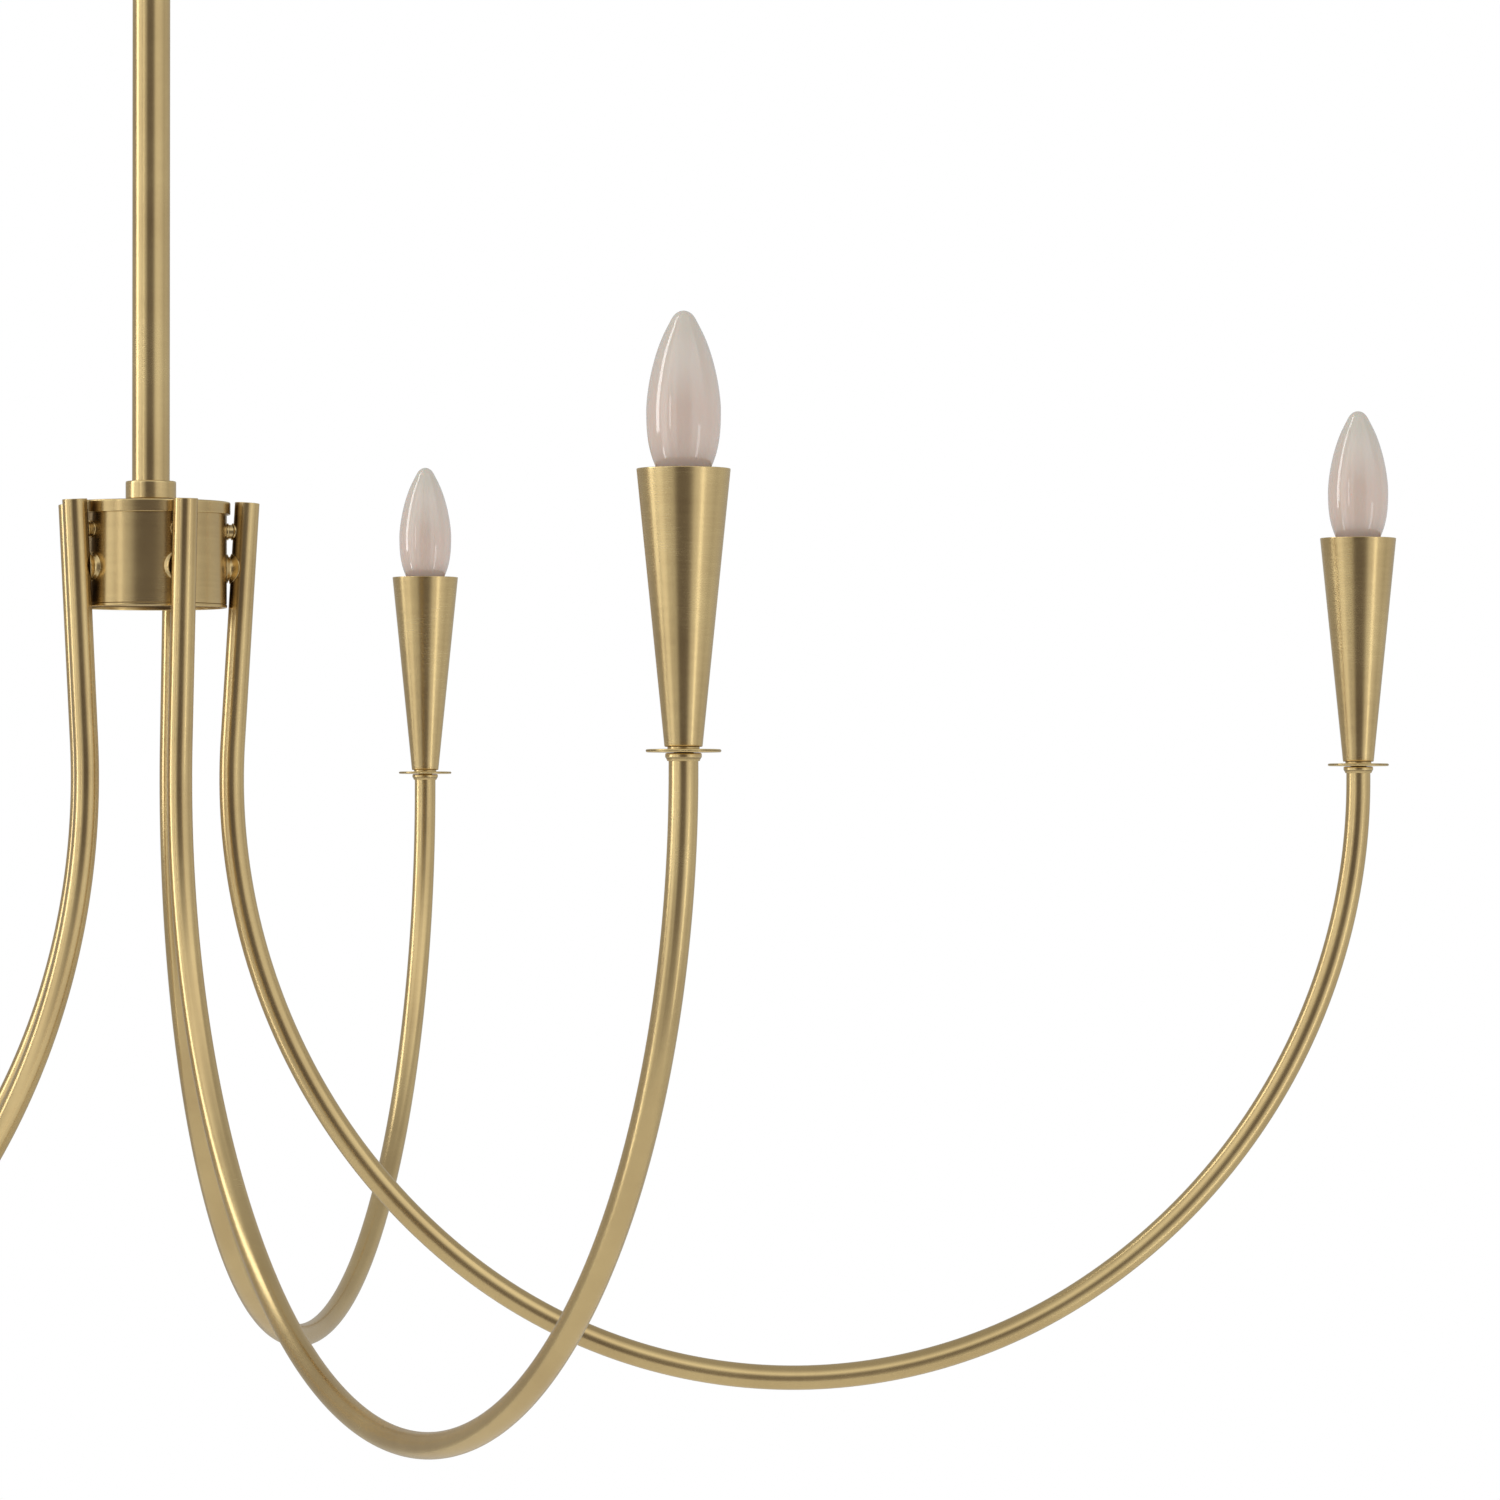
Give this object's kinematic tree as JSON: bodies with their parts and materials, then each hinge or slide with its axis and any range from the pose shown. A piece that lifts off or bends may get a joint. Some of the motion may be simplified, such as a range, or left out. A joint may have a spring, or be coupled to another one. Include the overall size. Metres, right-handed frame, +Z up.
{
  "type": "multi arm chandelier",
  "caption": "Ceiling chandelier: a rigid downrod carries a drum hub with long U-shaped tube arms, each rising to a slim cone cup with a candle bulb.",
  "frame": {"origin": "centre of the crossbar's top face, where it meets the ceiling box", "axes": "+Z up, out of the ceiling face; +X along the crossbar and along arm 1; arms count anticlockwise from above"},
  "size_m": [1.3122, 1.3776, 1.2032],
  "materials": {
    "antique_brass": "hand-brushed antique brass, satin lacquer",
    "bulb_brass": "bright rolled thread",
    "zinc_steel": "zinc plated",
    "opal_glass": "glossy opal white",
    "socket_phenolic": "moulded phenolic",
    "wire_sleeve": "matt insulation"
  },
  "bodies": {
    "ceiling_mount": {"crossbar": "zinc_steel", "canopy": "antique_brass", "canopy_screw_left": "antique_brass", "canopy_screw_right": "antique_brass", "swivel_housing": "antique_brass"},
    "swivel": {"swivel_knuckle": "antique_brass", "swivel_pin": "antique_brass"},
    "hanging_frame": {"swivel_tongue": "antique_brass", "upper_rod": "antique_brass", "rod_coupler": "antique_brass", "lower_rod": "antique_brass", "hub_collar": "antique_brass", "hub_lid": "antique_brass", "hub_drum": "antique_brass", "wiring_harness": "wire_sleeve", "arm_tube_1": "antique_brass", "arm_standoff_1": "antique_brass", "arm_grommet_1": "antique_brass", "ferrule_1": "antique_brass", "drip_disc_1": "antique_brass", "cone_cup_1": "antique_brass", "lamp_socket_1": "socket_phenolic", "arm_tube_2": "antique_brass", "arm_standoff_2": "antique_brass", "arm_grommet_2": "antique_brass", "ferrule_2": "antique_brass", "drip_disc_2": "antique_brass", "cone_cup_2": "antique_brass", "lamp_socket_2": "socket_phenolic", "arm_tube_3": "antique_brass", "arm_standoff_3": "antique_brass", "arm_grommet_3": "antique_brass", "ferrule_3": "antique_brass", "drip_disc_3": "antique_brass", "cone_cup_3": "antique_brass", "lamp_socket_3": "socket_phenolic", "arm_tube_4": "antique_brass", "arm_standoff_4": "antique_brass", "arm_grommet_4": "antique_brass", "ferrule_4": "antique_brass", "drip_disc_4": "antique_brass", "cone_cup_4": "antique_brass", "lamp_socket_4": "socket_phenolic", "arm_tube_5": "antique_brass", "arm_standoff_5": "antique_brass", "arm_grommet_5": "antique_brass", "ferrule_5": "antique_brass", "drip_disc_5": "antique_brass", "cone_cup_5": "antique_brass", "lamp_socket_5": "socket_phenolic"},
    "bulb_1": {"bulb_base_1": "bulb_brass", "bulb_glass_1": "opal_glass"},
    "bulb_2": {"bulb_base_2": "bulb_brass", "bulb_glass_2": "opal_glass"},
    "bulb_3": {"bulb_base_3": "bulb_brass", "bulb_glass_3": "opal_glass"},
    "bulb_4": {"bulb_base_4": "bulb_brass", "bulb_glass_4": "opal_glass"},
    "bulb_5": {"bulb_base_5": "bulb_brass", "bulb_glass_5": "opal_glass"}
  },
  "joints": [
    {"name": "swivel_turn", "type": "hinge", "parent": "ceiling_mount", "child": "swivel", "pos_m": [0, 0, -0.0396], "axis": [0, 0, 1], "range_deg": [-165, 165]},
    {"name": "swivel_tilt", "type": "hinge", "parent": "swivel", "child": "hanging_frame", "pos_m": [0, 0, -0.05395], "axis": [0, 1, 0], "range_deg": [-30, 30]},
    {"name": "bulb_1_removal", "type": "slide", "parent": "hanging_frame", "child": "bulb_1", "axis": [0, 0, 1], "range_m": [0, 0.025]},
    {"name": "bulb_2_removal", "type": "slide", "parent": "hanging_frame", "child": "bulb_2", "axis": [0, 0, 1], "range_m": [0, 0.025]},
    {"name": "bulb_3_removal", "type": "slide", "parent": "hanging_frame", "child": "bulb_3", "axis": [0, 0, 1], "range_m": [0, 0.025]},
    {"name": "bulb_4_removal", "type": "slide", "parent": "hanging_frame", "child": "bulb_4", "axis": [0, 0, 1], "range_m": [0, 0.025]},
    {"name": "bulb_5_removal", "type": "slide", "parent": "hanging_frame", "child": "bulb_5", "axis": [0, 0, 1], "range_m": [0, 0.025]}
  ]
}
